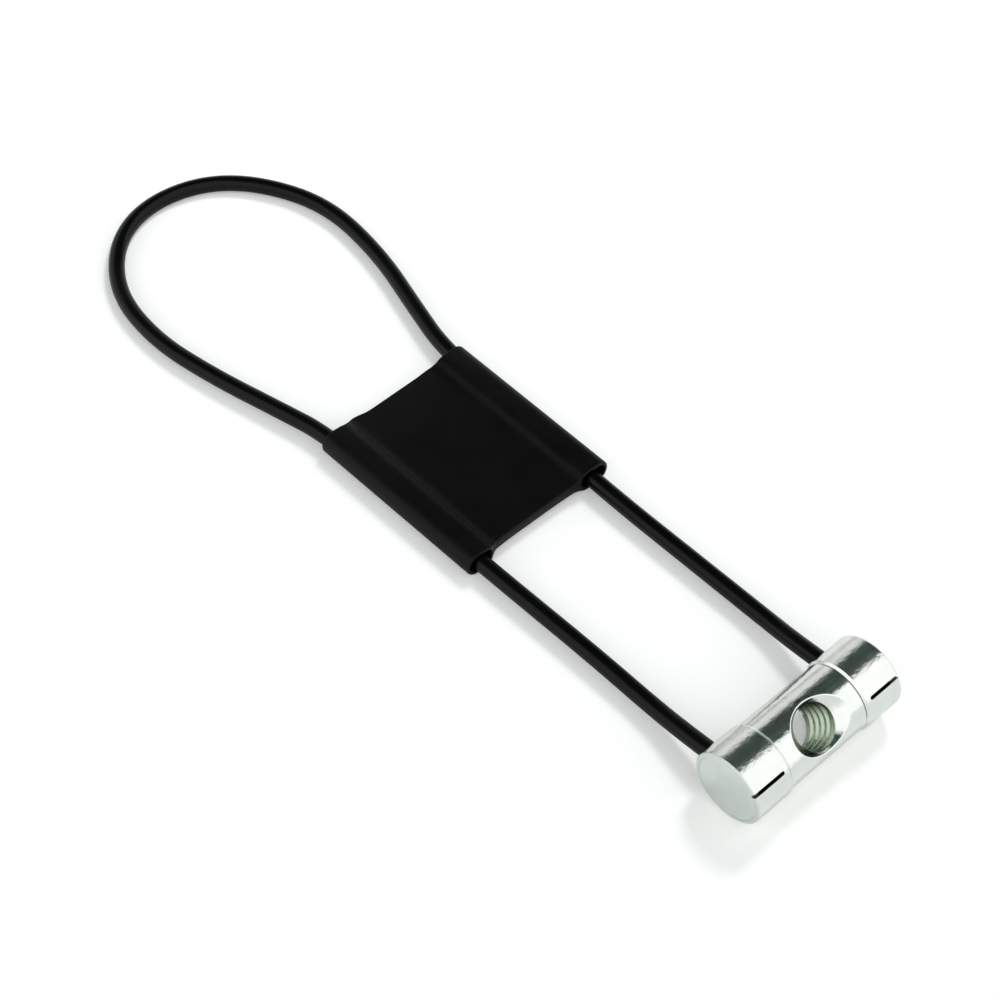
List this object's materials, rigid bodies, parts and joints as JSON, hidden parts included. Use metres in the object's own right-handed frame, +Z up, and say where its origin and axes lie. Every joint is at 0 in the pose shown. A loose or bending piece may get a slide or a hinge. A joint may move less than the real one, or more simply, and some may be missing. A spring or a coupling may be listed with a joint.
{
  "type": "threaded swivel bar on a coated wire loop",
  "caption": "Loop of black coated wire with a flat sliding keeper on its legs and a bright steel swivel bar across its foot, with a countersunk threaded cross hole.",
  "frame": {"origin": "on the surface that the loop lies on, straight below the middle of the bar", "axes": "+X along the bar, +Y from the bar to the far end of the loop, +Z up"},
  "size_m": [0.0495, 0.1808, 0.0134],
  "materials": {
    "plated_steel": "bright nickel plate, lightly tumbled",
    "plated_collar": "bright nickel plate, fine turning marks",
    "satin_disc": "satin, faced",
    "coating": "glossy extruded black",
    "wire_rope": "bright drawn wire",
    "ferrule": "swaged",
    "keeper_rubber": "matt moulded black"
  },
  "bodies": {
    "loop": {"wire_coating": "coating", "wire_core": "wire_rope", "collar_left": "plated_collar", "collar_right": "plated_collar", "cable_stop_left": "ferrule", "cable_stop_right": "ferrule"},
    "bar": {"cross_bar": "plated_steel", "end_disc_left": "satin_disc", "end_disc_right": "satin_disc"},
    "keeper": {"keeper_sleeve": "keeper_rubber"}
  },
  "joints": [
    {"name": "bar_turn", "type": "hinge", "parent": "loop", "child": "bar", "pos_m": [0, 0, 0.0067], "axis": [1, 0, 0], "continuous": true},
    {"name": "keeper_slide", "type": "slide", "parent": "loop", "child": "keeper", "axis": [0, 1, 0], "range_m": [-0.034, 0]}
  ]
}
